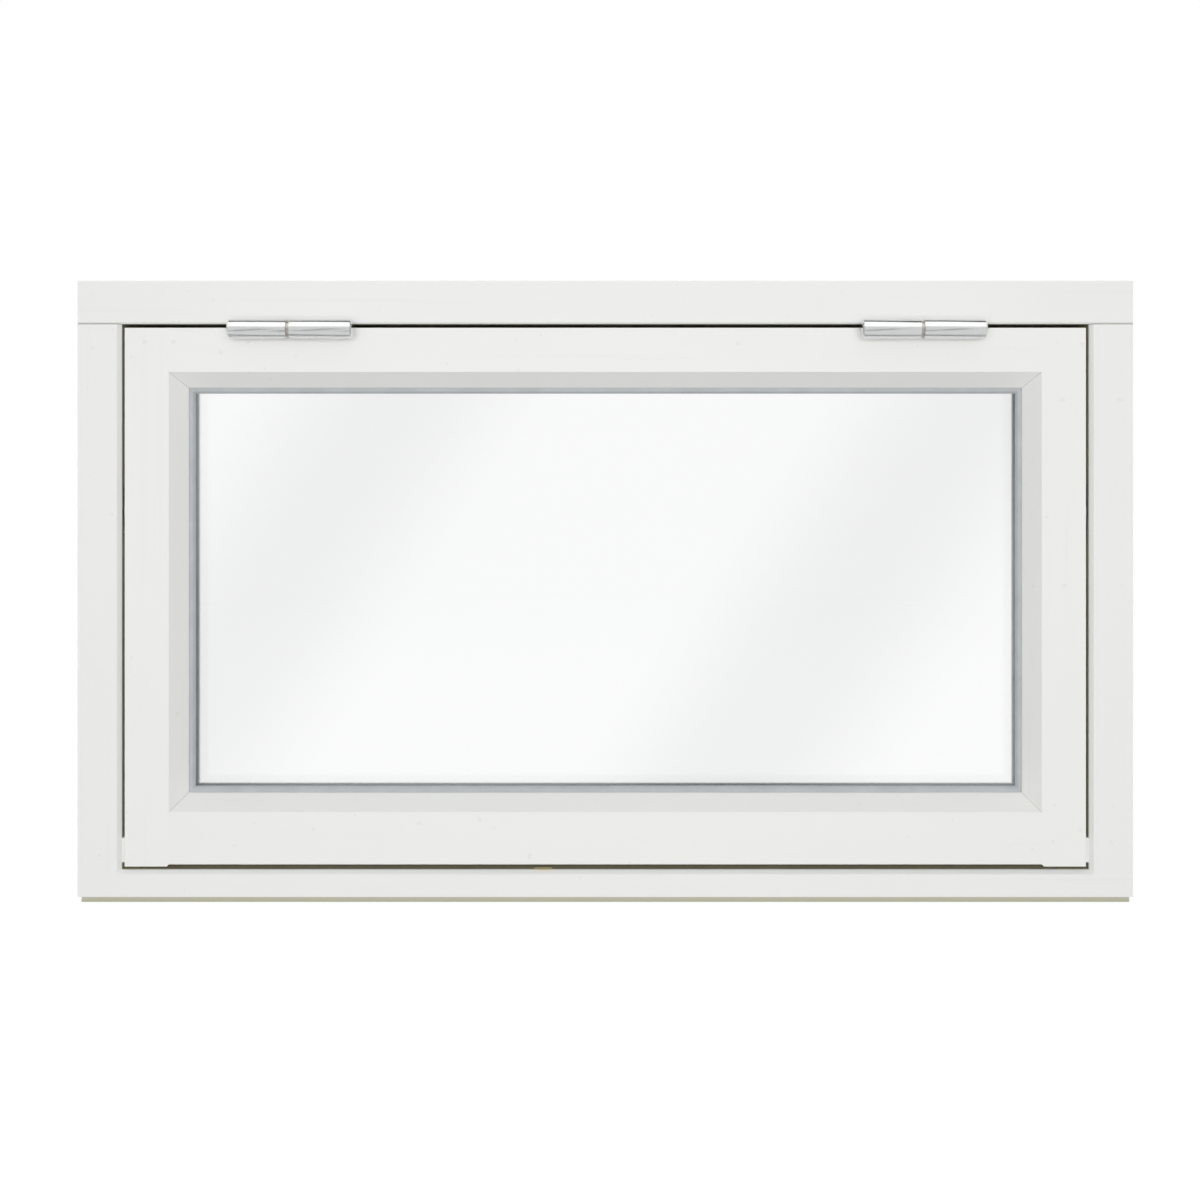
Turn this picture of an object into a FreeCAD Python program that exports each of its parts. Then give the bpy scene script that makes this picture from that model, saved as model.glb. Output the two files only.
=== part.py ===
import FreeCAD, Part
import math
import operator
import os
import Sketcher

# A top-hung timber window: a fixed frame, and a glazed sash that hangs from two lift-off hinges
# on its top edge and swings out at the bottom. X runs along the width, +Y points into the room,
# +Z is up. The origin is on the sill's seat, at mid-width and mid-depth of the frame.

doc = FreeCAD.newDocument("top_hung_window")
sheet = doc.addObject("Spreadsheet::Sheet", "Sizes")
aliases = []
nodes = []


class Length:
    """A number together with the spreadsheet expression that gives it."""

    def __init__(self, text, value):
        self.text = text
        self.value = value

    def __add__(self, other):
        return combine(self, "+", other)

    def __radd__(self, other):
        return combine(other, "+", self)

    def __sub__(self, other):
        return combine(self, "-", other)

    def __rsub__(self, other):
        return combine(other, "-", self)

    def __mul__(self, other):
        return combine(self, "*", other)

    def __rmul__(self, other):
        return combine(other, "*", self)

    def __truediv__(self, other):
        return combine(self, "/", other)

    def __neg__(self):
        return combine(0, "-", self)


SIGNS = {"+": operator.add, "-": operator.sub, "*": operator.mul, "/": operator.truediv}


def as_length(number):
    """Lets a plain number join in with lengths from the sheet."""
    if isinstance(number, Length):
        return number
    return Length(repr(float(number)), float(number))


def combine(first, sign, second):
    """The sum, difference, product or quotient of two lengths."""
    first = as_length(first)
    second = as_length(second)
    text = f"({first.text} {sign} {second.text})"
    return Length(text, SIGNS[sign](first.value, second.value))


def size(alias, value):
    """Puts one driving dimension on the sheet and returns it."""
    aliases.append(alias)
    row = len(aliases)
    sheet.set(f"A{row}", alias)
    sheet.set(f"B{row}", str(value))
    sheet.setAlias(f"B{row}", alias)
    return Length(f"Sizes.{alias}", float(value))


# ---- driving dimensions, in millimetres ----

# Frame: head, jambs and sill
frame_width = size("frame_width", 980)
frame_height = size("frame_height", 580)
frame_depth = size("frame_depth", 115)
frame_face = size("frame_face", 40)
seal_gap = size("seal_gap", 4)
stop_height = size("stop_height", 14)
head_arris = size("head_arris", 1.5)
jamb_arris = size("jamb_arris", 3.5)
sill_underside = size("sill_underside", 8)
sill_lip_set_back = size("sill_lip_set_back", 11)
sill_face_top = size("sill_face_top", 29)
sill_arris = size("sill_arris", 3.5)
sill_flat_height = size("sill_flat_height", 34.5)
sill_stop_top = size("sill_stop_top", 54)

# Fixing holes through the jambs, and the corner screws
fixing_radius = size("fixing_radius", 7)
fixing_low = size("fixing_low", 120)
fixing_below_head = size("fixing_below_head", 80)
corner_screw_front = size("corner_screw_front", 32.5)
corner_screw_length = size("corner_screw_length", 100)

# Seals in the frame's stops
seal_kerf_width = size("seal_kerf_width", 2.5)
seal_kerf_depth = size("seal_kerf_depth", 5)
seal_inset = size("seal_inset", 5.5)
seal_clearance = size("seal_clearance", 0.3)
seal_barb_play = size("seal_barb_play", 0.2)

# Sash
sash_gap = size("sash_gap", 3.5)
sash_set_back = size("sash_set_back", 1)
sash_depth = size("sash_depth", 62)
sash_flat = size("sash_flat", 41)
bottom_flat = size("bottom_flat", 48.5)
stile_foot = size("stile_foot", 36)
rail_foot = size("rail_foot", 38)
foot_splay = size("foot_splay", 2)
underside_rise = size("underside_rise", 5)
underside_back_rise = size("underside_back_rise", 3.5)
drip_front = size("drip_front", 6)
drip_width = size("drip_width", 4)
drip_height = size("drip_height", 5)
bevel_width = size("bevel_width", 14.5)
bevel_depth = size("bevel_depth", 15)
lip_land = size("lip_land", 1.5)
dowel_radius = size("dowel_radius", 5)
dowel_half_length = size("dowel_half_length", 28)
dowel_from_face = size("dowel_from_face", 12)

# Glass unit and what holds it
pane_thickness = size("pane_thickness", 4)
glass_cavity = size("glass_cavity", 16)
glass_cover = size("glass_cover", 11)
gasket_thickness = size("gasket_thickness", 3.5)
gasket_sight = size("gasket_sight", 5.5)
gasket_chamfer = size("gasket_chamfer", 2)
tape_thickness = size("tape_thickness", 2)
spacer_inset = size("spacer_inset", 14.5)
spacer_height = size("spacer_height", 8)
block_length = size("block_length", 80)
block_spacing = size("block_spacing", 500)
bead_arris = size("bead_arris", 3)

# Hinges
hinge_spacing = size("hinge_spacing", 584)
barrel_clearance = size("barrel_clearance", 1)
hinge_axis_below = size("hinge_axis_below", 5)
barrel_radius = size("barrel_radius", 9)
barrel_chamfer = size("barrel_chamfer", 1.5)
sash_knuckle = size("sash_knuckle", 54)
frame_knuckle = size("frame_knuckle", 57.5)
knuckle_gap = size("knuckle_gap", 3.2)
pin_radius = size("pin_radius", 5)
pin_reach = size("pin_reach", 45)
running_play = size("running_play", 0.06)
washer_radius = size("washer_radius", 7.5)
washer_play = size("washer_play", 0.2)
leaf_thickness = size("leaf_thickness", 2.5)
leaf_reach = size("leaf_reach", 32.5)

# Friction stays: an arm on each jamb, with a shoe in a track in the stile's edge
stay_tilt = size("stay_tilt", 8.5)
stay_radius = size("stay_radius", 170)
arm_thickness = size("arm_thickness", 2)
arm_half_width = size("arm_half_width", 7)
stud_radius = size("stud_radius", 3)
shoe_radius = size("shoe_radius", 4)
shoe_pin_radius = size("shoe_pin_radius", 2.5)
shoe_play = size("shoe_play", 0.2)
track_half_width = size("track_half_width", 7)
track_depth = size("track_depth", 8)
track_floor = size("track_floor", 1.5)
opening_angle = size("opening_angle", 50)
track_past_shoe = size("track_past_shoe", 12)
bracket_half_width = size("bracket_half_width", 8)
bracket_half_length = size("bracket_half_length", 22)
bracket_thickness = size("bracket_thickness", 3)

# Lock in the bottom rail
lock_from_back = size("lock_from_back", 16.5)
spindle_height = size("spindle_height", 68)
gear_module = size("gear_module", 1.5)
pinion_teeth = size("pinion_teeth", 15)
tooth_play = size("tooth_play", 0.25)
tooth_tip = size("tooth_tip", 1.3)
tooth_root = size("tooth_root", 1.9)
pinion_thickness = size("pinion_thickness", 8)
pinion_hub_radius = size("pinion_hub_radius", 6)
spindle_half_side = size("spindle_half_side", 3.5)
faceplate_half_width = size("faceplate_half_width", 7)
faceplate_thickness = size("faceplate_thickness", 2)
faceplate_half_length = size("faceplate_half_length", 320)
bar_half_width = size("bar_half_width", 3)
bar_play = size("bar_play", 0.3)
lock_shoulder = size("lock_shoulder", 2)
bar_past_cam = size("bar_past_cam", 12)
cam_radius = size("cam_radius", 4)
cam_spacing = size("cam_spacing", 500)
cam_foot = size("cam_foot", 37.5)
case_half_length = size("case_half_length", 19)
case_wall = size("case_wall", 1.5)
lug_top = size("lug_top", 40.3)
lug_thickness = size("lug_thickness", 4.2)
lug_half_length = size("lug_half_length", 6)
strike_half_length = size("strike_half_length", 26)
strike_thickness = size("strike_thickness", 2)
strike_width = size("strike_width", 18)

# Lever and rosette
rosette_half_width = size("rosette_half_width", 28)
rosette_half_height = size("rosette_half_height", 11)
rosette_thickness = size("rosette_thickness", 5)
neck_radius = size("neck_radius", 6.5)
grip_near = size("grip_near", 14.5)
grip_far = size("grip_far", 25.5)
grip_length = size("grip_length", 110)
grip_half_height = size("grip_half_height", 5)

# Guide blocks low in the side gaps
guide_low = size("guide_low", 39)
guide_high = size("guide_high", 62)
guide_length = size("guide_length", 20)
guide_play = size("guide_play", 0.8)

# Screws: head radius, head height, shank radius
wood_screw_head = size("wood_screw_head", 3.5)
wood_screw_head_height = size("wood_screw_head_height", 1.5)
wood_screw_shank = size("wood_screw_shank", 1.75)
wood_screw_length = size("wood_screw_length", 20)
corner_screw_head = size("corner_screw_head", 5.5)
corner_screw_head_height = size("corner_screw_head_height", 4)
corner_screw_shank = size("corner_screw_shank", 3)
track_screw_head_height = size("track_screw_head_height", 0.9)
bead_nail_head = size("bead_nail_head", 1.6)
bead_nail_head_height = size("bead_nail_head_height", 0.8)
bead_nail_shank = size("bead_nail_shank", 0.8)
bead_nail_length = size("bead_nail_length", 26)
screw_head_play = size("screw_head_play", 0.1)

# How far a cut runs past the piece that it trims
past = size("cut_past", 5)

# ---- places worked out from the driving dimensions ----

front = -frame_depth / 2
back = frame_depth / 2
outer_x = frame_width / 2
rebate_x = outer_x - frame_face
stop_x = rebate_x - stop_height
head_z = frame_height - frame_face
head_stop_z = head_z - stop_height

sash_x = rebate_x - sash_gap
sash_top = head_z - sash_gap
sash_front = front + sash_set_back
sash_back = sash_front + sash_depth
stop_y = sash_back + seal_gap
fixing_y = (stop_y + back) / 2
flat_x = sash_x - sash_flat
lip_x = flat_x - bevel_width
top_flat_z = sash_top - sash_flat
top_lip_z = top_flat_z - bevel_width
bottom_flat_z = rail_foot + bottom_flat
bottom_lip_z = bottom_flat_z + bevel_width
lip_back_y = sash_front + bevel_depth + lip_land

outer_pane_y = lip_back_y + gasket_thickness
cavity_y = outer_pane_y + pane_thickness
inner_pane_y = cavity_y + glass_cavity
tape_y = inner_pane_y + pane_thickness
bead_y = tape_y + tape_thickness
nail_y = (bead_y + sash_back) / 2
glass_x = lip_x + glass_cover
glass_low = bottom_lip_z - glass_cover
glass_high = top_lip_z + glass_cover

axis_y = front - barrel_clearance - barrel_radius
axis_z = head_z - hinge_axis_below
leaf_root = (pin_radius + barrel_radius) / 2
leaf_end_y = front + leaf_reach

lock_y = sash_back - lock_from_back
under_front_y = lock_y - faceplate_half_width - lock_shoulder
under_back_y = lock_y + faceplate_half_width
lock_z = rail_foot + underside_rise
pitch_radius = gear_module * pinion_teeth / 2
pitch_z = spindle_height - pitch_radius
bar_bottom = rail_foot + underside_rise + faceplate_thickness + bar_play
bar_top = pitch_z - tooth_root
tooth_top = pitch_z + tooth_tip + bar_play
case_top = spindle_height + pitch_radius + tooth_tip + bar_play + case_wall
bar_run = cam_spacing / 2 + gear_module * pinion_teeth * math.pi / 4 + bar_past_cam + cam_radius
lock_travel = pitch_radius * math.pi / 2


# ---- ways of making the pieces ----

PLANES = {"X": "YZ_Plane", "Y": "XZ_Plane", "Z": "XY_Plane"}


def new_body(name):
    """An empty body whose label is the name of its node."""
    body = doc.addObject("PartDesign::Body", name)
    body.Label = name
    nodes.append(body)
    return body


def pin_point(sketch, edge, end, x, y):
    """Holds one end, or the centre, of a drawn edge at a place taken from the sheet."""
    for kind, number in (("DistanceX", x), ("DistanceY", y)):
        index = sketch.addConstraint(Sketcher.Constraint(kind, -1, 1, edge, end, number.value))
        sketch.setExpression(f"Constraints[{index}]", number.text)


def draw_circle(sketch, x, y, radius):
    centre = FreeCAD.Vector(x.value, y.value, 0)
    circle = Part.Circle(centre, FreeCAD.Vector(0, 0, 1), radius.value)
    edge = sketch.addGeometry(circle, False)
    pin_point(sketch, edge, 3, x, y)
    index = sketch.addConstraint(Sketcher.Constraint("Radius", edge, radius.value))
    sketch.setExpression(f"Constraints[{index}]", radius.text)


def draw_polygon(sketch, corners):
    points = [FreeCAD.Vector(x.value, y.value, 0) for x, y in corners]
    ends = points[1:] + points[:1]
    edges = [sketch.addGeometry(Part.LineSegment(start, end), False) for start, end in zip(points, ends)]
    for edge, following in zip(edges, edges[1:] + edges[:1]):
        sketch.addConstraint(Sketcher.Constraint("Coincident", edge, 2, following, 1))
    for edge, (x, y) in zip(edges, corners):
        pin_point(sketch, edge, 1, x, y)


def extrude(body, along, low, high, loops, cut=False):
    """Pads or pockets outlines between two stations along X, Y or Z."""
    low, high = as_length(low), as_length(high)
    sketch = body.newObject("Sketcher::SketchObject", f"{body.Name}_outline")
    plane = next(item for item in body.Origin.OriginFeatures if item.Role == PLANES[along])
    sketch.AttachmentSupport = [(plane, "")]
    sketch.MapMode = "FlatFace"
    # The XZ plane faces -Y, so a run along Y is measured from its far end.
    start = -high if along == "Y" else low
    sketch.setExpression("AttachmentOffset.Base.z", start.text)
    for loop in loops:
        numbers = [tuple(as_length(number) for number in corner) for corner in loop]
        if len(numbers) == 1:
            draw_circle(sketch, *numbers[0])
        else:
            draw_polygon(sketch, numbers)
    kind = "Pocket" if cut else "Pad"
    feature = body.newObject(f"PartDesign::{kind}", f"{body.Name}_{kind.lower()}")
    feature.Profile = sketch
    feature.setExpression("Length", (high - low).text)
    if cut:
        feature.Reversed = True
    return feature


def rectangle(x_low, x_high, y_low, y_high):
    return [(x_low, y_low), (x_high, y_low), (x_high, y_high), (x_low, y_high)]


def circle(x, y, radius):
    return [(x, y, radius)]


def run(side, near, far):
    """The stations of a run from near to far out along X, on the left (-1) or right (+1)."""
    return (near, far) if side > 0 else (-as_length(far), -as_length(near))


def mirrored(side, corners):
    return [(as_length(x) * side, y) for x, y in corners]


def place(item, x, y, z):
    for axis, number in zip("xyz", (x, y, z)):
        item.setExpression(f"Placement.Base.{axis}", as_length(number).text)


def block(name, x_range, y_range, z_range):
    """A plain rectangular block."""
    item = doc.addObject("Part::Box", name)
    item.Label = name
    for prop, (low, high) in zip(("Length", "Width", "Height"), (x_range, y_range, z_range)):
        item.setExpression(prop, (as_length(high) - low).text)
    place(item, x_range[0], y_range[0], z_range[0])
    return item


def group(name, pieces):
    """Like pieces that share one node, each a solid of its own."""
    item = doc.addObject("Part::Compound", name)
    item.Label = name
    item.Links = pieces
    nodes.append(item)
    return item


WOOD_SCREW = (wood_screw_head, wood_screw_head_height, wood_screw_shank, wood_screw_length)
CORNER_SCREW = (corner_screw_head, corner_screw_head_height, corner_screw_shank, corner_screw_length)
BEAD_NAIL = (bead_nail_head, bead_nail_head_height, bead_nail_shank, bead_nail_length)
TRACK_SCREW = (wood_screw_head, track_screw_head_height, wood_screw_shank, wood_screw_length)


def cylinder(name, radius, height, at, towards):
    item = doc.addObject("Part::Cylinder", name)
    item.setExpression("Radius", as_length(radius).text)
    item.setExpression("Height", as_length(height).text)
    item.Placement.Rotation = FreeCAD.Rotation(FreeCAD.Vector(0, 0, 1), FreeCAD.Vector(*towards))
    place(item, *at)
    return item


def fasteners(name, kind, places, towards):
    """A group of like screws or nails: each is a head and a shank, driven towards one way."""
    head, head_height, shank, length = kind
    pieces = []
    for at in places:
        under_head = [as_length(number) + head_height * way for number, way in zip(at, towards)]
        top = cylinder(f"{name}_head", head, head_height, at, towards)
        stem = cylinder(f"{name}_shank", shank, length - head_height, under_head, towards)
        whole = doc.addObject("Part::Fuse", f"{name}_piece")
        whole.Base = top
        whole.Tool = stem
        pieces.append(whole)
    return pieces


def screw_holes(body, kind, places, towards, head_here=False):
    """Drills a body for screws; the piece that a head sits in is counterbored as well."""
    head, head_height, shank, length = kind
    axis = next(number for number, way in enumerate(towards) if way)
    way = towards[axis]
    for at in places:
        flat = [number for number in range(3) if number != axis]
        u, v = at[flat[0]], at[flat[1]]
        entry = as_length(at[axis])
        far = entry + length * way
        low, high = (entry, far) if way > 0 else (far, entry)
        extrude(body, "XYZ"[axis], low, high, [circle(u, v, shank)], cut=True)
        if head_here:
            seat = entry + head_height * way
            low, high = (entry, seat) if way > 0 else (seat, entry)
            extrude(body, "XYZ"[axis], low, high, [circle(u, v, head + screw_head_play)], cut=True)


# ---- the frame ----

SIDES = {"left": -1, "right": 1}
screw_rows = [front + corner_screw_front, fixing_y]
half_face = frame_face / 2
head_screws = [((outer_x - half_face) * side, y, frame_height) for side in (-1, 1) for y in screw_rows]
sill_screws = [((outer_x - half_face) * side, y, 0) for side in (-1, 1) for y in screw_rows]


def kerf(edge, way):
    """The saw cut for a seal in a stop's face: its two sides, nearest the stop's edge first."""
    middle = edge + seal_inset * way
    return middle - seal_kerf_width / 2 * way, middle + seal_kerf_width / 2 * way


def make_head():
    near, far = kerf(head_stop_z, 1)
    outline = [
        (front, frame_height), (back, frame_height), (back, head_stop_z), (stop_y, head_stop_z),
        (stop_y, near), (stop_y + seal_kerf_depth, near), (stop_y + seal_kerf_depth, far),
        (stop_y, far), (stop_y, head_z), (front + head_arris, head_z), (front, head_z + head_arris),
    ]
    body = new_body("frame_head")
    extrude(body, "X", -outer_x, outer_x, [outline])
    screw_holes(body, CORNER_SCREW, head_screws, (0, 0, -1), head_here=True)
    screw_holes(body, WOOD_SCREW, frame_leaf_screws(), (0, 0, 1))


def sill_top_line():
    """The sill's weathered top, from its front arris to the stop's face."""
    return [
        (front + sill_arris, sill_face_top + sill_arris), (under_front_y, sill_flat_height),
        (stop_y, sill_flat_height),
    ]


def make_sill():
    near, far = kerf(sill_stop_top, -1)
    lip_y = front + sill_lip_set_back
    outline = [(front, sill_underside), (front, sill_face_top)] + sill_top_line() + [
        (stop_y, far), (stop_y + seal_kerf_depth, far), (stop_y + seal_kerf_depth, near),
        (stop_y, near), (stop_y, sill_stop_top), (back, sill_stop_top), (back, 0), (lip_y, 0),
        (lip_y, sill_underside),
    ]
    body = new_body("frame_sill")
    extrude(body, "X", -outer_x, outer_x, [outline])
    screw_holes(body, CORNER_SCREW, sill_screws, (0, 0, 1), head_here=True)
    for side in (-1, 1):
        x = cam_spacing / 2 * side + lock_travel
        recess = rectangle(x - strike_half_length, x + strike_half_length, *strike_range())
        extrude(body, "Z", sill_flat_height - strike_thickness, sill_flat_height, [recess], cut=True)
        screw_holes(body, WOOD_SCREW, strike_screw_places(side), (0, 0, -1))


def make_jamb(name, side):
    near, far = kerf(stop_x, 1)
    section = [
        (outer_x, front), (outer_x, back), (stop_x, back), (stop_x, stop_y), (near, stop_y),
        (near, stop_y + seal_kerf_depth), (far, stop_y + seal_kerf_depth), (far, stop_y),
        (rebate_x, stop_y), (rebate_x, front + jamb_arris), (rebate_x + jamb_arris, front),
    ]
    body = new_body(f"frame_jamb_{name}")
    extrude(body, "Z", 0, frame_height, [mirrored(side, section)])
    under_head = [
        (front - past, head_z), (stop_y, head_z), (stop_y, head_stop_z), (back + past, head_stop_z),
        (back + past, frame_height + past), (front - past, frame_height + past),
    ]
    over_sill = [(front - past, sill_face_top - past)] + sill_top_line() + [
        (stop_y, sill_stop_top), (back + past, sill_stop_top), (back + past, -past),
        (front - past, -past),
    ]
    for scribe in (under_head, over_sill):
        extrude(body, "X", *run(side, stop_x - past, outer_x + past), [scribe], cut=True)
    screw_holes(body, CORNER_SCREW, [at for at in head_screws if at[0].value * side > 0], (0, 0, -1))
    screw_holes(body, CORNER_SCREW, [at for at in sill_screws if at[0].value * side > 0], (0, 0, 1))
    fixings = [circle(fixing_y, z, fixing_radius) for z in (fixing_low, head_z - fixing_below_head)]
    extrude(body, "X", *run(side, stop_x - past, outer_x + past), fixings, cut=True)
    pocket = rectangle(*bracket_box())
    extrude(body, "X", *run(side, rebate_x, rebate_x + bracket_thickness), [pocket], cut=True)
    screw_holes(body, WOOD_SCREW, bracket_screw_places(side), (side, 0, 0))


def make_seals():
    radius = (stop_y - sash_back - seal_clearance) / 2
    barb = seal_kerf_width / 2 - seal_barb_play
    barb_end = stop_y + seal_kerf_depth - seal_barb_play
    bulb_y = stop_y - radius
    side_x = stop_x + seal_inset
    rows = {"head": head_stop_z + seal_inset, "sill": sill_stop_top - seal_inset}
    for name, z in rows.items():
        body = new_body(f"frame_seal_{name}")
        half = side_x + radius
        extrude(body, "X", -half, half, [circle(bulb_y, z, radius)])
        extrude(body, "X", -stop_x, stop_x, [rectangle(bulb_y, barb_end, z - barb, z + barb)])
    for name, side in SIDES.items():
        body = new_body(f"frame_seal_{name}")
        x = side_x * side
        extrude(body, "Z", rows["sill"] + radius, rows["head"] - radius, [circle(x, bulb_y, radius)])
        strip = rectangle(x - barb, x + barb, bulb_y, barb_end)
        extrude(body, "Z", sill_stop_top, head_stop_z, [strip])


def make_guides():
    y_range = (front + jamb_arris, front + jamb_arris + guide_length)
    pieces = []
    for side in (-1, 1):
        x_range = run(side, sash_x + guide_play, rebate_x)
        pieces.append(block("guide_block", x_range, y_range, (guide_low, guide_high)))
    group("sash_guide_blocks", pieces)


# ---- the sash ----

def mitre_upright(body, side, flat_z, lip_z, end_z):
    """Trims the inner part of an upright along the mitre at one of its ends."""
    way = 1 if flat_z.value > lip_z.value else -1
    corner = [
        (flat_x, flat_z), (lip_x - past, lip_z - past * way), (lip_x - past, end_z + past * way),
        (flat_x, end_z + past * way),
    ]
    low, high = sash_front - past, sash_back + past
    extrude(body, "Y", low, high, [mirrored(side, corner)], cut=True)


def mitre_rail(body, side, flat_z, lip_z):
    """Trims the inner part of a rail along the mitre at one of its ends."""
    inward = past if lip_z.value > flat_z.value else -past
    corner = [
        (flat_x, flat_z), (lip_x - past, lip_z + inward), (flat_x + past, lip_z + inward),
        (flat_x + past, flat_z),
    ]
    low, high = sash_front - past, sash_back + past
    extrude(body, "Y", low, high, [mirrored(side, corner)], cut=True)


def dowel_places():
    """Two dowels in each corner, as (side, y, z)."""
    rows = (sash_front + dowel_from_face, sash_back - dowel_from_face)
    heights = (top_flat_z + sash_flat / 2, spindle_height + 2)
    return [(side, y, z) for side in (-1, 1) for y in rows for z in heights]


def dowel_holes(body, places, side, half):
    """Drills one end of a piece for its dowels, from the corner's joint line."""
    near, far = (flat_x - dowel_half_length, flat_x) if half == "rail" else (
        flat_x, flat_x + dowel_half_length)
    loops = [circle(y, z, dowel_radius) for where, y, z in places if where == side]
    extrude(body, "X", *run(side, near, far), loops, cut=True)


def make_stile(name, side):
    section = [
        (sash_x, sash_front), (flat_x, sash_front), (lip_x, sash_front + bevel_depth),
        (lip_x, lip_back_y), (flat_x, lip_back_y), (flat_x, sash_back), (sash_x, sash_back),
    ]
    body = new_body(f"sash_stile_{name}")
    extrude(body, "Z", stile_foot, sash_top, [mirrored(side, section)])
    mitre_upright(body, side, top_flat_z, top_lip_z, sash_top)
    mitre_upright(body, side, bottom_flat_z, bottom_lip_z, stile_foot)
    splay = [
        (flat_x - past, stile_foot - past), (flat_x + foot_splay + past, stile_foot - past),
        (flat_x + foot_splay, stile_foot), (flat_x, stile_foot + foot_splay),
        (flat_x - past, stile_foot + foot_splay),
    ]
    foot = [
        (sash_front, stile_foot), (under_front_y, stile_foot + underside_rise),
        (under_back_y, stile_foot + underside_rise),
        (sash_back, stile_foot + underside_rise + underside_back_rise),
        (sash_back, stile_foot - past), (sash_front, stile_foot - past),
    ]
    extrude(body, "X", *run(side, lip_x - past, sash_x + past), [foot], cut=True)
    extrude(body, "Y", sash_front, under_front_y, [mirrored(side, splay)], cut=True)
    dowel_holes(body, dowel_places(), side, "stile")
    recess = track_outline(track_half_width, 0)
    extrude(body, "X", *run(side, sash_x - track_depth, sash_x), [recess], cut=True)
    screw_holes(body, WOOD_SCREW, track_screw_places(side), (-side, 0, 0))
    screw_holes(body, BEAD_NAIL, upright_nails(side), (side, 0, 0))


def make_top_rail():
    section = [
        (sash_front, sash_top), (sash_back, sash_top), (sash_back, top_flat_z),
        (lip_back_y, top_flat_z), (lip_back_y, top_lip_z), (sash_front + bevel_depth, top_lip_z),
        (sash_front, top_flat_z),
    ]
    body = new_body("sash_rail_top")
    extrude(body, "X", -flat_x, flat_x, [section])
    for side in (-1, 1):
        mitre_rail(body, side, top_flat_z, top_lip_z)
        dowel_holes(body, dowel_places()[0::2], side, "rail")
        recess = rectangle(*sash_leaf_range(side), sash_front - past, leaf_end_y)
        extrude(body, "Z", sash_top - leaf_thickness, sash_top, [recess], cut=True)
    screw_holes(body, WOOD_SCREW, sash_leaf_screws(), (0, 0, -1))
    screw_holes(body, BEAD_NAIL, rail_nails(top_lip_z), (0, 0, 1))


def make_bottom_rail():
    section = [
        (sash_front, rail_foot), (under_front_y, lock_z), (under_back_y, lock_z),
        (sash_back, lock_z + underside_back_rise), (sash_back, bottom_flat_z),
        (lip_back_y, bottom_flat_z), (lip_back_y, bottom_lip_z),
        (sash_front + bevel_depth, bottom_lip_z), (sash_front, bottom_flat_z),
    ]
    body = new_body("sash_rail_bottom")
    extrude(body, "X", -flat_x, flat_x, [section])
    for side in (-1, 1):
        mitre_rail(body, side, bottom_flat_z, bottom_lip_z)
        dowel_holes(body, dowel_places()[1::2], side, "rail")
    drip_y = sash_front + drip_front
    drip = rectangle(drip_y, drip_y + drip_width, rail_foot - past, rail_foot + drip_height)
    extrude(body, "X", -flat_x, flat_x, [drip], cut=True)
    plate = rectangle(-faceplate_half_length, faceplate_half_length, *faceplate_range())
    extrude(body, "Z", lock_z, lock_z + faceplate_thickness, [plate], cut=True)
    bar_room = bar_half_width + bar_play
    groove = rectangle(-bar_run, bar_run, lock_y - bar_room, lock_y + bar_room)
    extrude(body, "Z", lock_z, tooth_top, [groove], cut=True)
    case = rectangle(-case_half_length, case_half_length, *faceplate_range())
    extrude(body, "Z", lock_z, case_top, [case], cut=True)
    spindle = circle(0, spindle_height, pinion_hub_radius + bar_play)
    extrude(body, "Y", under_back_y, sash_back, [spindle], cut=True)
    screw_holes(body, WOOD_SCREW, faceplate_screws(), (0, 0, 1))
    screw_holes(body, WOOD_SCREW, rosette_screws(), (0, -1, 0))
    screw_holes(body, BEAD_NAIL, rail_nails(bottom_lip_z), (0, 0, -1))
    extrude(body, "Z", lock_z, bar_bottom + bar_play, cam_slots(), cut=True)


def make_dowels():
    pieces = []
    length = dowel_half_length * 2
    for side, y, z in dowel_places():
        start = (flat_x - dowel_half_length) * side
        pieces.append(cylinder("dowel", dowel_radius, length, (start, y, z), (side, 0, 0)))
    group("sash_dowels", pieces)


# ---- the glass unit, what seals it, and the beads ----

def pane_loop(x, low, high):
    return rectangle(-x, x, low, high)


def make_glazing():
    low_edge, high_edge = glass_low, glass_high
    for name, y in (("pane_outer", outer_pane_y), ("pane_inner", inner_pane_y)):
        body = new_body(name)
        extrude(body, "Y", y, y + pane_thickness, [pane_loop(glass_x, low_edge, high_edge)])
    sight = spacer_inset
    seal = spacer_inset - spacer_height
    make_ring("glass_spacer", cavity_y, inner_pane_y, seal, sight)
    make_ring("glass_edge_seal", cavity_y, inner_pane_y, 0, seal)
    make_ring("glazing_tape", tape_y, bead_y, 0, glass_cover)
    gasket = make_ring("glazing_gasket", lip_back_y, outer_pane_y, 0, glass_cover + gasket_sight)
    doc.recompute()
    nose = gasket.Tip
    inner_x = (lip_x - gasket_sight).value
    edges = [f"Edge{number}" for number, edge in enumerate(nose.Shape.Edges, 1)
             if on_nose(edge, lip_back_y.value, inner_x)]
    chamfer = gasket.newObject("PartDesign::Chamfer", "gasket_chamfer")
    chamfer.Base = (nose, edges)
    chamfer.setExpression("Size", gasket_chamfer.text)


def on_nose(edge, y, x):
    """True for the four edges round the sight opening, on the gasket's weather side."""
    middle = edge.CenterOfMass
    near = 0.01
    across = abs(middle.x) < x + near and edge.BoundBox.XMax < x + near
    upright = glass_low.value + 1 < middle.z < glass_high.value - 1
    return abs(middle.y - y) < near and across and upright


def make_ring(name, y_low, y_high, outer, inner):
    """A frame of strip round the glass; outer and inner are insets from the glass's edge."""
    body = new_body(name)
    loops = []
    for inset in (outer, inner):
        loops.append(pane_loop(glass_x - inset, glass_low + inset, glass_high - inset))
    extrude(body, "Y", y_low, y_high, loops)
    return body


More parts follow.
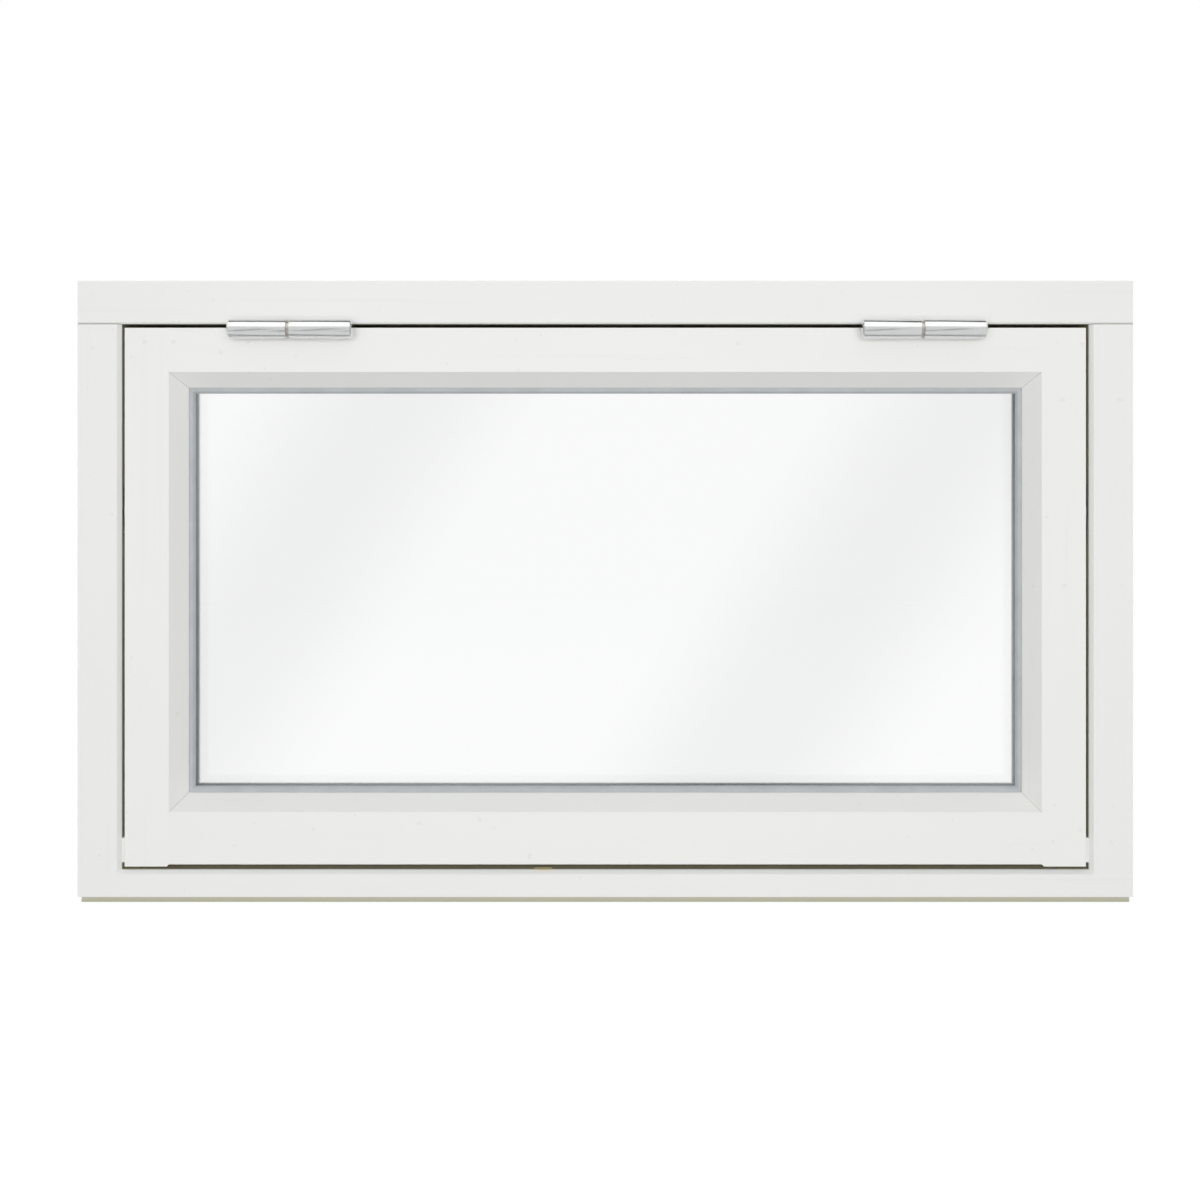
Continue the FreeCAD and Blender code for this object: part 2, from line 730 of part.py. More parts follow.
def make_setting_blocks():
    half = block_length / 2
    y_range = (outer_pane_y, tape_y)
    pieces = []
    for side in (-1, 1):
        x = block_spacing / 2 * side
        for z_range in ((bottom_flat_z, glass_low), (glass_high, top_flat_z)):
            pieces.append(block("setting_block", (x - half, x + half), y_range, z_range))
        middle = (glass_low + glass_high) / 2
        x_range = run(side, glass_x, flat_x)
        pieces.append(block("setting_block", x_range, y_range, (middle - half, middle + half)))
    group("glazing_blocks", pieces)


# Where the bead nails stand: shares of an upright bead's length, and of the half width.
UPRIGHT_NAILS = (0.2, 0.5, 0.8)
ACROSS_NAILS = (-0.75, -0.25, 0.25, 0.75)


def upright_nails(side):
    """The nails of an upright bead: where their heads are, in the bead's sight edge."""
    span = top_lip_z - bottom_lip_z
    return [(lip_x * side, nail_y, bottom_lip_z + span * share) for share in UPRIGHT_NAILS]


def rail_nails(lip_z):
    return [(lip_x * share, nail_y, lip_z) for share in ACROSS_NAILS]


def make_beads():
    arris_y = sash_back - bead_arris
    nails = []
    for name, side in SIDES.items():
        section = [
            (flat_x, bead_y), (flat_x, sash_back), (lip_x + bead_arris, sash_back),
            (lip_x, arris_y), (lip_x, bead_y),
        ]
        body = new_body(f"bead_{name}")
        extrude(body, "Z", bottom_flat_z, top_flat_z, [mirrored(side, section)])
        mitre_upright(body, side, top_flat_z, top_lip_z, sash_top)
        mitre_upright(body, side, bottom_flat_z, bottom_lip_z, stile_foot)
        places = upright_nails(side)
        screw_holes(body, BEAD_NAIL, places, (side, 0, 0), head_here=True)
        nails += fasteners("bead_nail", BEAD_NAIL, places, (side, 0, 0))
    rows = (("top", top_flat_z, top_lip_z, 1), ("bottom", bottom_flat_z, bottom_lip_z, -1))
    for name, flat_z, lip_z, way in rows:
        section = [
            (bead_y, flat_z), (sash_back, flat_z), (sash_back, lip_z + bead_arris * way),
            (arris_y, lip_z), (bead_y, lip_z),
        ]
        body = new_body(f"bead_{name}")
        extrude(body, "X", -flat_x, flat_x, [section])
        for side in (-1, 1):
            mitre_rail(body, side, flat_z, lip_z)
        places = rail_nails(lip_z)
        screw_holes(body, BEAD_NAIL, places, (0, 0, way), head_here=True)
        nails += fasteners("bead_nail", BEAD_NAIL, places, (0, 0, way))
    group("bead_nails", nails)


# ---- the two lift-off hinges ----

def frame_knuckle_range(side):
    """The frame's knuckle is the right-hand one on both hinges, so the sash lifts off one way."""
    start = hinge_spacing / 2 * side + knuckle_gap / 2
    return start, start + frame_knuckle


def sash_leaf_range(side):
    end = hinge_spacing / 2 * side - knuckle_gap / 2
    return end - sash_knuckle, end


def leaf_span(x_range, open_end):
    """A leaf is as long as its knuckle, less the rounding of the knuckle's closed end."""
    low, high = x_range
    short = barrel_chamfer * 1.5
    return (low, high - short) if open_end < 0 else (low + short, high)


def leaf_screw_grid(low, high, z):
    """Three screws in a leaf: two at its ends, and one between them nearer the barrel."""
    middle = (low + high) / 2
    reach = (high - low) / 3
    deep, near = leaf_end_y - wood_screw_head * 2, leaf_end_y - wood_screw_head * 4
    return [(middle - reach, deep, z), (middle, near, z), (middle + reach, deep, z)]


def frame_leaf_screws():
    z = head_z - leaf_thickness
    return [at for side in (-1, 1) for at in leaf_screw_grid(*frame_knuckle_range(side), z)]


def sash_leaf_screws():
    return [at for side in (-1, 1) for at in leaf_screw_grid(*sash_leaf_range(side), sash_top)]


def make_leaf(name, x_range, z_range, open_end, screws, towards):
    """A knuckle with its leaf: open_end is the end of the knuckle that the pin goes in by."""
    low, high = x_range
    body = new_body(name)
    extrude(body, "X", low, high, [circle(axis_y, axis_z, barrel_radius)])
    leaf_low, leaf_high = leaf_span(x_range, open_end)
    leaf = rectangle(leaf_low, leaf_high, axis_y + leaf_root, leaf_end_y)
    extrude(body, "Z", *z_range, [leaf])
    closed = pin_reach + running_play
    bore_range = (low, low + closed) if open_end < 0 else (high - closed, high)
    bore = circle(axis_y, axis_z, pin_radius + (running_play if open_end > 0 else 0))
    extrude(body, "X", *bore_range, [bore], cut=True)
    screw_holes(body, WOOD_SCREW, screws, towards, head_here=True)
    doc.recompute()
    rim_x = (high if open_end < 0 else low).value
    edges = [f"Edge{number}" for number, edge in enumerate(body.Tip.Shape.Edges, 1)
             if is_rim(edge, rim_x)]
    base = body.Tip
    chamfer = body.newObject("PartDesign::Chamfer", f"{name}_chamfer")
    chamfer.Base = (base, edges)
    chamfer.setExpression("Size", barrel_chamfer.text)


def is_rim(edge, x):
    """True for the round part of a knuckle's closed end."""
    reach = 0.01
    flat = abs(edge.BoundBox.XMin - x) < reach and abs(edge.BoundBox.XMax - x) < reach
    return flat and edge.Curve.TypeId == "Part::GeomCircle" and edge.Length > pin_radius.value


def make_hinges():
    for name, side in SIDES.items():
        z = head_z - leaf_thickness
        span = frame_knuckle_range(side)
        places = leaf_screw_grid(*span, z)
        make_leaf(f"hinge_{name}_frame_leaf", span, (z, head_z), -1, places, (0, 0, 1))
        z = sash_top - leaf_thickness
        span = sash_leaf_range(side)
        places = leaf_screw_grid(*span, sash_top)
        make_leaf(f"hinge_{name}_sash_leaf", span, (z, sash_top), 1, places, (0, 0, -1))
        gap_start = hinge_spacing / 2 * side - knuckle_gap / 2
        body = new_body(f"hinge_{name}_pin")
        start, end = gap_start - pin_reach + 1, gap_start + knuckle_gap + pin_reach
        extrude(body, "X", start, end, [circle(axis_y, axis_z, pin_radius)])
        body = new_body(f"hinge_{name}_washer")
        start, end = gap_start + washer_play / 2, gap_start + knuckle_gap - washer_play / 2
        loops = [circle(axis_y, axis_z, washer_radius), circle(axis_y, axis_z, pin_radius)]
        extrude(body, "X", start, end, loops)
    group("hinge_frame_screws", fasteners("leaf_screw", WOOD_SCREW, frame_leaf_screws(), (0, 0, 1)))
    group("hinge_sash_screws", fasteners("leaf_screw", WOOD_SCREW, sash_leaf_screws(), (0, 0, -1)))


# ---- the friction stays ----

tilt_sin = Length("sin(Sizes.stay_tilt * 1 deg)", math.sin(math.radians(stay_tilt.value)))
tilt_cos = Length("cos(Sizes.stay_tilt * 1 deg)", math.cos(math.radians(stay_tilt.value)))
opening_cos = Length("cos(Sizes.opening_angle * 1 deg)", math.cos(math.radians(opening_angle.value)))
track_from = stay_radius * 2 * opening_cos - track_past_shoe


def stay_point(along, across):
    """A point of the stay's plane: along the closed arm's line from the hinge axis, and across it."""
    along, across = as_length(along), as_length(across)
    return axis_y + along * tilt_sin + across * tilt_cos, axis_z - along * tilt_cos + across * tilt_sin


def stay_strip(start, end, half_width):
    return [stay_point(start, -half_width), stay_point(end, -half_width),
            stay_point(end, half_width), stay_point(start, half_width)]


def track_outline(half_width, margin):
    end = stay_radius * 2 + track_past_shoe
    return stay_strip(track_from + margin, end - margin, half_width)


def track_screw_places(side):
    x = (sash_x - track_depth + track_floor) * side
    stations = (track_from + track_past_shoe, stay_radius * 2 - track_past_shoe * 2)
    return [(x, *stay_point(along, 0)) for along in stations]


def bracket_box():
    y, z = stay_point(stay_radius, 0)
    low, high = z - bracket_half_length, z + bracket_half_length
    return (y - bracket_half_width, y + bracket_half_width, low, high)


def bracket_screw_places(side):
    y, z = stay_point(stay_radius, 0)
    reach = bracket_half_length - wood_screw_head * 2
    return [(rebate_x * side, y, z + reach * way) for way in (-1, 1)]


def make_stays():
    middle = (rebate_x + sash_x) / 2
    arm_near, arm_far = middle - arm_thickness / 2, middle + arm_thickness / 2
    pivot = stay_point(stay_radius, 0)
    shoe = stay_point(stay_radius * 2, 0)
    bracket_screws = []
    track_screws = []
    for name, side in SIDES.items():
        body = new_body(f"stay_bracket_{name}")
        plate = run(side, rebate_x, rebate_x + bracket_thickness)
        extrude(body, "X", *plate, [rectangle(*bracket_box())])
        extrude(body, "X", *run(side, arm_near, rebate_x), [circle(*pivot, stud_radius)])
        places = bracket_screw_places(side)
        screw_holes(body, WOOD_SCREW, places, (side, 0, 0), head_here=True)
        bracket_screws += fasteners("bracket_screw", WOOD_SCREW, places, (side, 0, 0))

        body = new_body(f"stay_track_{name}")
        floor = sash_x - track_depth
        extrude(body, "X", *run(side, floor, sash_x), [track_outline(track_half_width, 0)])
        slot = track_outline(shoe_radius + shoe_play, track_floor)
        extrude(body, "X", *run(side, floor + track_floor, sash_x), [slot], cut=True)
        places = track_screw_places(side)
        screw_holes(body, TRACK_SCREW, places, (-side, 0, 0), head_here=True)
        track_screws += fasteners("track_screw", TRACK_SCREW, places, (-side, 0, 0))

        body = new_body(f"stay_arm_{name}")
        strip = stay_strip(stay_radius, stay_radius * 2, arm_half_width)
        extrude(body, "X", *run(side, arm_near, arm_far), [strip])
        extrude(body, "X", *run(side, arm_near, arm_far), [circle(*pivot, arm_half_width)])
        extrude(body, "X", *run(side, arm_near, arm_far), [circle(*shoe, arm_half_width)])
        tip = floor + track_floor * 2 + wood_screw_head_height / 2
        extrude(body, "X", *run(side, tip, arm_near), [circle(*shoe, shoe_pin_radius)])
        hole = circle(*pivot, stud_radius + running_play)
        extrude(body, "X", *run(side, arm_near - past, arm_far + past), [hole], cut=True)

        body = new_body(f"stay_shoe_{name}")
        loops = [circle(*shoe, shoe_radius), circle(*shoe, shoe_pin_radius)]
        extrude(body, "X", *run(side, tip, sash_x), loops)
    group("stay_bracket_screws", bracket_screws)
    group("stay_track_screws", track_screws)


# ---- the lock in the bottom rail, and its lever ----

def faceplate_range():
    return lock_y - faceplate_half_width, lock_y + faceplate_half_width


def faceplate_screws():
    reach = faceplate_half_length - wood_screw_head * 3
    return [(reach * side, lock_y, lock_z) for side in (-1, 1)]


def cam_slots():
    """The slots that the cams travel in."""
    room = cam_radius + bar_play
    slots = []
    for side in (-1, 1):
        cam_x = cam_spacing / 2 * side
        span = (cam_x - room, cam_x + lock_travel + room)
        slots.append(rectangle(*span, lock_y - room, lock_y + room))
    return slots


def rosette_screws():
    reach = rosette_half_width - wood_screw_head * 2
    return [(reach * side, sash_back + rosette_thickness, spindle_height) for side in (-1, 1)]


def strike_centre(side):
    """A strike's lug stands where the cam comes to when the lock is turned."""
    return cam_spacing / 2 * side + lock_travel


def strike_range():
    low = lock_y - cam_radius - bar_play - lug_thickness
    return low, low + strike_width


def strike_screw_places(side):
    low, high = strike_range()
    reach = strike_half_length - wood_screw_head * 2
    return [(strike_centre(side) + reach * way, (low + high) / 2, sill_flat_height) for way in (-1, 1)]


def make_strikes():
    screws = []
    for name, side in SIDES.items():
        x = strike_centre(side)
        low, high = strike_range()
        plate = rectangle(x - strike_half_length, x + strike_half_length, low, high)
        lug = rectangle(x - lug_half_length, x + lug_half_length, low, low + lug_thickness)
        body = new_body(f"strike_plate_{name}")
        extrude(body, "Z", sill_flat_height - strike_thickness, sill_flat_height, [plate])
        extrude(body, "Z", sill_flat_height - strike_thickness, lug_top, [lug])
        places = strike_screw_places(side)
        screw_holes(body, WOOD_SCREW, places, (0, 0, -1), head_here=True)
        screws += fasteners("strike_screw", WOOD_SCREW, places, (0, 0, -1))
    group("strike_screws", screws)


def tooth(x, pitch_line, way):
    """A straight-sided tooth on a pitch line, as (x, z); way is +1 for a tooth that points up."""
    half = gear_module * math.pi / 4 - tooth_play
    slope = math.tan(math.radians(20))
    wide, narrow = half + tooth_root * slope, half - tooth_tip * slope
    foot, tip = pitch_line - (tooth_root + bar_play) * way, pitch_line + tooth_tip * way
    return [(x - wide, foot), (x + wide, foot), (x + narrow, tip), (x - narrow, tip)]


def make_lock_bar():
    low, high = lock_y - bar_half_width, lock_y + bar_half_width
    body = new_body("lock_bar")
    reach = cam_spacing / 2 + bar_past_cam
    extrude(body, "Y", low, high, [rectangle(-reach, reach, bar_bottom, bar_top)])
    pitch = gear_module * math.pi
    first = -math.ceil(lock_travel.value / pitch.value) - 2
    teeth = [tooth(pitch * (number + 0.5), pitch_z, 1) for number in range(first, 2)]
    extrude(body, "Y", low, high, teeth)
    cams = []
    for side in (-1, 1):
        at = (cam_spacing / 2 * side, lock_y, cam_foot)
        cams.append(cylinder("cam", cam_radius, bar_bottom - cam_foot, at, (0, 0, 1)))
    group("lock_cams", cams)


def make_pinion():
    """The pinion is made about its own centre, then placed on the spindle's line."""
    low, high = lock_y - pinion_thickness / 2, lock_y + pinion_thickness / 2
    body = new_body("lock_pinion")
    extrude(body, "Y", low, high, [circle(0, 0, pitch_radius - tooth_root)])
    extrude(body, "Y", low, high, [tooth(as_length(0), -pitch_radius, -1)])
    pattern = body.newObject("PartDesign::PolarPattern", "pinion_teeth_pattern")
    pattern.Originals = [body.Tip]
    pattern.Axis = (next(item for item in body.Origin.OriginFeatures if item.Role == "Y_Axis"), [""])
    pattern.Angle = 360
    pattern.setExpression("Occurrences", pinion_teeth.text)
    body.Tip = pattern
    extrude(body, "Y", *faceplate_range(), [circle(0, 0, pinion_hub_radius)])
    half = spindle_half_side
    extrude(body, "Y", *faceplate_range(), [rectangle(-half, half, -half, half)], cut=True)
    body.setExpression("Placement.Base.z", spindle_height.text)


def make_lock():
    body = new_body("lock_faceplate")
    half = faceplate_half_length
    plate = rectangle(-half, half, *faceplate_range())
    extrude(body, "Z", lock_z, lock_z + faceplate_thickness, [plate] + cam_slots())
    screw_holes(body, WOOD_SCREW, faceplate_screws(), (0, 0, 1), head_here=True)

    body = new_body("lock_case")
    low_z = lock_z + faceplate_thickness
    half = case_half_length
    extrude(body, "Z", low_z, case_top, [rectangle(-half, half, *faceplate_range())])
    room = pinion_thickness / 2 + bar_play
    inside = rectangle(-half + case_wall, half - case_wall, lock_y - room, lock_y + room)
    extrude(body, "Z", low_z, case_top - case_wall, [inside], cut=True)
    room = bar_half_width + bar_play
    way = rectangle(lock_y - room, lock_y + room, low_z, tooth_top)
    extrude(body, "X", -half, half, [way], cut=True)
    hub = circle(0, spindle_height, pinion_hub_radius + running_play)
    extrude(body, "Y", *faceplate_range(), [hub], cut=True)

    screws = fasteners("faceplate_screw", WOOD_SCREW, faceplate_screws(), (0, 0, 1))
    group("lock_screws", screws)


def make_handle():
    grip_y = (sash_back + grip_near, sash_back + grip_far)
    neck_start = sash_back + case_wall
    body = new_body("handle_lever")
    extrude(body, "Y", neck_start, grip_y[1], [circle(0, spindle_height, neck_radius)])
    low, high = spindle_height - grip_half_height, spindle_height + grip_half_height
    extrude(body, "Y", *grip_y, [rectangle(0, grip_length, low, high)])
    extrude(body, "Y", *grip_y, [circle(grip_length, spindle_height, grip_half_height)])
    half = spindle_half_side
    square = rectangle(-half, half, spindle_height - half, spindle_height + half)
    extrude(body, "Y", neck_start, grip_y[0], [square], cut=True)

    y_range = (lock_y - faceplate_half_width, grip_y[0])
    z_range = (spindle_height - half, spindle_height + half)
    nodes.append(block("handle_spindle", (-half, half), y_range, z_range))

    body = new_body("handle_rosette")
    round_part = rosette_half_height
    reach = rosette_half_width - round_part
    y_range = (sash_back, sash_back + rosette_thickness)
    low, high = spindle_height - round_part, spindle_height + round_part
    extrude(body, "Y", *y_range, [rectangle(-reach, reach, low, high)])
    for side in (-1, 1):
        extrude(body, "Y", *y_range, [circle(reach * side, spindle_height, round_part)])
    hole = circle(0, spindle_height, neck_radius + screw_head_play)
    extrude(body, "Y", *y_range, [hole], cut=True)
    screw_holes(body, WOOD_SCREW, rosette_screws(), (0, -1, 0), head_here=True)
    group("rosette_screws", fasteners("rosette_screw", WOOD_SCREW, rosette_screws(), (0, -1, 0)))


# ---- the whole window ----

make_head()
make_sill()
for hand, way in SIDES.items():
    make_jamb(hand, way)
    make_stile(hand, way)
make_seals()
make_guides()
corner_screws = fasteners("corner_screw", CORNER_SCREW, head_screws, (0, 0, -1))
corner_screws += fasteners("corner_screw", CORNER_SCREW, sill_screws, (0, 0, 1))
group("frame_corner_screws", corner_screws)
make_top_rail()
make_bottom_rail()
make_dowels()
make_glazing()
make_setting_blocks()
make_beads()
make_hinges()
make_stays()
make_strikes()
make_lock_bar()
make_pinion()
make_lock()
make_handle()
doc.recompute()

faults = [item.Name for item in doc.Objects if {"Invalid", "Error"} & set(item.State)]
for item in doc.Objects:
    if item.TypeId in ("PartDesign::Pocket", "PartDesign::Chamfer"):
        if item.Shape.Volume >= item.BaseFeature.Shape.Volume:
            faults.append(f"{item.Name} takes nothing away")
for node in nodes:
    if node.Shape.isNull() or not node.Shape.isValid():
        faults.append(f"{node.Label} has no valid shape")
if faults:
    raise RuntimeError("; ".join(faults))

os.makedirs("parts", exist_ok=True)
for node in nodes:
    node.Shape.exportStep(f"parts/{node.Label}.step")
print(f"{len(nodes)} nodes written")
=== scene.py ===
import math

import bmesh
import bpy
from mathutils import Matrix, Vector


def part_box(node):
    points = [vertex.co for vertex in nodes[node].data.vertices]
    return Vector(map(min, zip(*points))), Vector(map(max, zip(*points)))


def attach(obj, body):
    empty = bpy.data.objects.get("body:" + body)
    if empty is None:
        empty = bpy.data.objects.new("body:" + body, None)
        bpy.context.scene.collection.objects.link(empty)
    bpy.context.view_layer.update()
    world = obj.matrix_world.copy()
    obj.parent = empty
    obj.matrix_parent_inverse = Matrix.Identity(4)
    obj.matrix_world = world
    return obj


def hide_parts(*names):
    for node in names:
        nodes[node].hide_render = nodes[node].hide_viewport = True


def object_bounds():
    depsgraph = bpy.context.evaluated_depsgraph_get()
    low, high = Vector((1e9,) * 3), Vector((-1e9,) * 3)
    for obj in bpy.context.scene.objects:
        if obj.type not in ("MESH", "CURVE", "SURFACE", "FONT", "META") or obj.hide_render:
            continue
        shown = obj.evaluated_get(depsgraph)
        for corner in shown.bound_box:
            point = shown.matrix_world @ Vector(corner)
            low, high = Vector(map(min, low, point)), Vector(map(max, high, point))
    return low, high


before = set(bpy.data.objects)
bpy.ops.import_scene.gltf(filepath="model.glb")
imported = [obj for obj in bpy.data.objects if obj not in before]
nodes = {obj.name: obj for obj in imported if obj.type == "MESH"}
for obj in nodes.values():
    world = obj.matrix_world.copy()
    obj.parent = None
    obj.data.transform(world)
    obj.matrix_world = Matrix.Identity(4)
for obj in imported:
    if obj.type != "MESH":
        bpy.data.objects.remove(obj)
cad_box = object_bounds()

# The studio: the window stands on its sill on a pale floor, in front of a white surround.
# The camera looks square at the weather side from a little above the middle of the glass,
# and the picture is shifted down so that the frame's edges stay upright and parallel.
weather_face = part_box("frame_head")[0].y
stand_off = 1.47
eye_height = 0.462
studio_radius = 9.0

camera_data = bpy.data.cameras.new("camera")
camera_data.lens = 47.5
camera_data.shift_x = -0.0125
camera_data.shift_y = -0.16
camera = bpy.data.objects.new("camera", camera_data)
camera.location = (0.009, weather_face - stand_off, eye_height)
camera.rotation_euler = (math.radians(90), 0, 0)
bpy.context.scene.collection.objects.link(camera)
bpy.context.scene.camera = camera
bpy.context.scene.view_settings.view_transform = "Standard"


class Wire:
    """What comes out of a node. Arithmetic on it adds the Math nodes that work it out."""

    def __init__(self, finish, socket):
        self.finish = finish
        self.socket = socket

    def work(self, operation, first, second):
        sockets = {0: first, 1: second}
        return self.finish.add("ShaderNodeMath", {"operation": operation}, sockets)["Value"]

    def __add__(self, other):
        return self.work("ADD", self, other)

    def __radd__(self, other):
        return self.work("ADD", other, self)

    def __sub__(self, other):
        return self.work("SUBTRACT", self, other)

    def __rsub__(self, other):
        return self.work("SUBTRACT", other, self)

    def __mul__(self, other):
        return self.work("MULTIPLY", self, other)

    def __rmul__(self, other):
        return self.work("MULTIPLY", other, self)


class Made:
    """A node that has been added; its outputs are read by name or number."""

    def __init__(self, finish, node):
        self.finish = finish
        self.node = node

    def __getitem__(self, name):
        return Wire(self.finish, self.node.outputs[name])


class Finish:
    """A paint, metal, rubber or glass, mixed from nodes for this window."""

    def __init__(self, name, tree=None):
        if tree is None:
            self.material = bpy.data.materials.new(name)
            self.material.use_nodes = True
            tree = self.material.node_tree
        self.tree = tree
        self.tree.nodes.clear()

    def add(self, kind, settings=None, sockets=None):
        node = self.tree.nodes.new(kind)
        for name, value in (settings or {}).items():
            setattr(node, name, value)
        for name, value in (sockets or {}).items():
            if isinstance(value, Wire):
                self.tree.links.new(value.socket, node.inputs[name])
            else:
                node.inputs[name].default_value = value
        return Made(self, node)

    def place(self, stretch=(1, 1, 1), shift=(0, 0, 0)):
        """A point of the piece, in metres, stretched before a pattern is read there."""
        where = self.add("ShaderNodeTexCoord")["Object"]
        sockets = {"Vector": where, "Location": shift, "Scale": stretch}
        return self.add("ShaderNodeMapping", None, sockets)["Vector"]

    def axes(self):
        """The same point's X, Y and Z, read by name."""
        return self.add("ShaderNodeSeparateXYZ", None, {"Vector": self.place()})

    def noise(self, stretch, detail=2.0, shift=(0, 0, 0)):
        """Soft random variation from 0 to 1; stretch is how many patches fit in a metre each way."""
        sockets = {"Vector": self.place(stretch, shift), "Scale": 1.0, "Detail": detail}
        return self.add("ShaderNodeTexNoise", None, sockets)["Fac"]

    def step(self, wire, low, high):
        """0 below low, 1 above high, and smooth between them."""
        sockets = {"Value": wire, "From Min": low, "From Max": high}
        return self.add("ShaderNodeMapRange", {"interpolation_type": "SMOOTHSTEP"}, sockets)["Result"]

    def blend(self, factor, first, second):
        """One colour where factor is 0, the other where it is 1."""
        first, second = (value if isinstance(value, Wire) else (*value, 1) for value in (first, second))
        return self.add("ShaderNodeMix", {"data_type": "RGBA"}, {0: factor, 6: first, 7: second})[2]

    def distance(self, first, second):
        """How far apart two values are, whichever is larger."""
        return self.add("ShaderNodeMath", {"operation": "ABSOLUTE"}, {0: first - second})["Value"]

    def relief(self, height, depth):
        """A bump of the given depth in metres."""
        return self.add("ShaderNodeBump", None, {"Distance": depth, "Height": height})["Normal"]

    def surface(self, shader, output="ShaderNodeOutputMaterial"):
        self.add(output, None, {"Surface": shader})

    def solid(self, sockets):
        """A surface that light doesn't enter, given what its sockets take."""
        self.surface(self.add("ShaderNodeBsdfPrincipled", None, sockets)["BSDF"])
        return self.material

    def lamp(self, strength):
        """A surface that only gives white light."""
        self.surface(self.add("ShaderNodeEmission", None, {"Strength": strength})["Emission"])
        return self.material


def studio_piece(name, build, material):
    """A floor, surround or card: it is in the studio, not part of the window."""
    mesh = bpy.data.meshes.new(name)
    shape = bmesh.new()
    build(shape)
    shape.to_mesh(mesh)
    shape.free()
    piece = bpy.data.objects.new(name, mesh)
    piece.data.materials.append(material)
    bpy.context.scene.collection.objects.link(piece)
    return piece


def pale_floor():
    """Matt white floor, bright enough to run into the surround; it takes a faint shadow near."""
    floor = Finish("studio_floor")
    away = floor.add("ShaderNodeVectorMath", {"operation": "LENGTH"}, {0: floor.place()})["Value"]
    near = 1 - floor.step(away, 0.8, 2.4)
    level = near * (0.036 + floor.noise((1.5, 1.5, 1.5)) * 0.008)
    matt = floor.add("ShaderNodeBsdfDiffuse", None, {"Color": level})["BSDF"]
    lift = floor.add("ShaderNodeEmission", None, {"Strength": 1 - near * 0.02})["Emission"]
    floor.surface(floor.add("ShaderNodeAddShader", None, {0: matt, 1: lift})["Shader"])
    return floor.material


floor = studio_piece(
    "studio_floor",
    lambda shape: bmesh.ops.create_circle(shape, cap_ends=True, segments=64, radius=studio_radius),
    pale_floor(),
)
floor.visible_diffuse = False
floor.visible_glossy = False

surround = studio_piece(
    "studio_surround",
    lambda shape: bmesh.ops.create_uvsphere(shape, u_segments=48, v_segments=24, radius=studio_radius),
    Finish("studio_surround").lamp(1.0),
)
surround.visible_diffuse = False
surround.visible_glossy = False
surround.visible_shadow = False

# What lights the window: an even sky, a little brighter above than below, one very large soft
# lamp straight in front, and others behind the frame's plane for its top, sides and back.
world = bpy.data.worlds.new("studio_light")
world.use_nodes = True
bpy.context.scene.world = world
sky = Finish("sky", world.node_tree)
direction = sky.add("ShaderNodeTexCoord")["Generated"]
height = sky.add("ShaderNodeSeparateXYZ", None, {"Vector": direction})["Z"]
strength = 0.545 + sky.step(height, -0.75, 0.75) * 0.085
background = sky.add("ShaderNodeBackground", None, {"Strength": strength})["Background"]
sky.surface(background, "ShaderNodeOutputWorld")


def soft_lamp(name, at, aim, width, tall, power):
    lamp_data = bpy.data.lights.new(name, "AREA")
    lamp_data.shape = "RECTANGLE"
    lamp_data.size = width
    lamp_data.size_y = tall
    lamp_data.energy = power
    lamp = bpy.data.objects.new(name, lamp_data)
    lamp.location = at
    lamp.rotation_euler = (Vector(aim) - Vector(at)).to_track_quat("-Z", "Y").to_euler()
    lamp.visible_camera = False
    lamp.visible_glossy = False
    lamp.visible_transmission = False
    bpy.context.scene.collection.objects.link(lamp)


middle = (cad_box[0] + cad_box[1]) / 2
soft_lamp("front_lamp", (0, -3.2, 0.25), middle, 3.0, 2.4, 80)
soft_lamp("back_lamp", (0, 8.0, 1.4), middle, 5.0, 3.0, 105)
soft_lamp("top_lamp", (0, 0.9, 2.4), middle, 2.4, 1.2, 13)
for side, x in (("left", -2.8), ("right", 2.8)):
    soft_lamp(f"side_lamp_{side}", (x, 1.9, 0.7), middle, 1.6, 1.6, 17)


# Cards that only shiny surfaces see. The upright one, behind the camera, has two soft slanting
# bands of shade, which the glass shows; the flat ones, over and under the window, give the
# metal a bright upper third, a thin dark line over it and an even grey below.
CARD_GREY, BAND_DEPTH = 0.75, 0.49
BAND_CENTRES = (-0.345, 1.157)
BAND_RUN = (0.842, -0.539)
CEILING_DARK, CEILING_GAIN = 0.05, 1.30
CARD_HALF_WIDTH = 3.2


def banded_card():
    card = Finish("banded_card")
    parts = card.axes()
    slant = parts["X"] * BAND_RUN[0] + parts["Z"] * BAND_RUN[1]
    shade = 0.0
    for centre in BAND_CENTRES:
        shade = shade + (1 - card.step(card.distance(slant, centre), 0.04, 0.46))
    shade = shade * (1 - card.step(parts["Z"], -0.36, -0.12))
    return card.lamp(CARD_GREY - shade * BAND_DEPTH)


def ceiling_card():
    """Bright in front of the window and dark over it, with a soft edge between them."""
    card = Finish("ceiling_card")
    return card.lamp(CEILING_DARK + (1 - card.step(card.axes()["Z"], -0.45, 0.05)) * CEILING_GAIN)


def card_shape(low, high):
    """An upright sheet between two heights; the tilt of its card may then lay it flat."""
    def build(shape):
        width = CARD_HALF_WIDTH
        corners = [(-width, 0, low), (width, 0, low), (width, 0, high), (-width, 0, high)]
        shape.faces.new([shape.verts.new(corner) for corner in corners])
    return build


def mirror_card(name, reach, material, at, tilt=0.0):
    card = studio_piece(name, card_shape(*reach), material)
    card.location = at
    card.rotation_euler = (tilt, 0, 0)
    card.visible_camera = False
    card.visible_diffuse = False
    card.visible_transmission = False
    card.visible_shadow = False


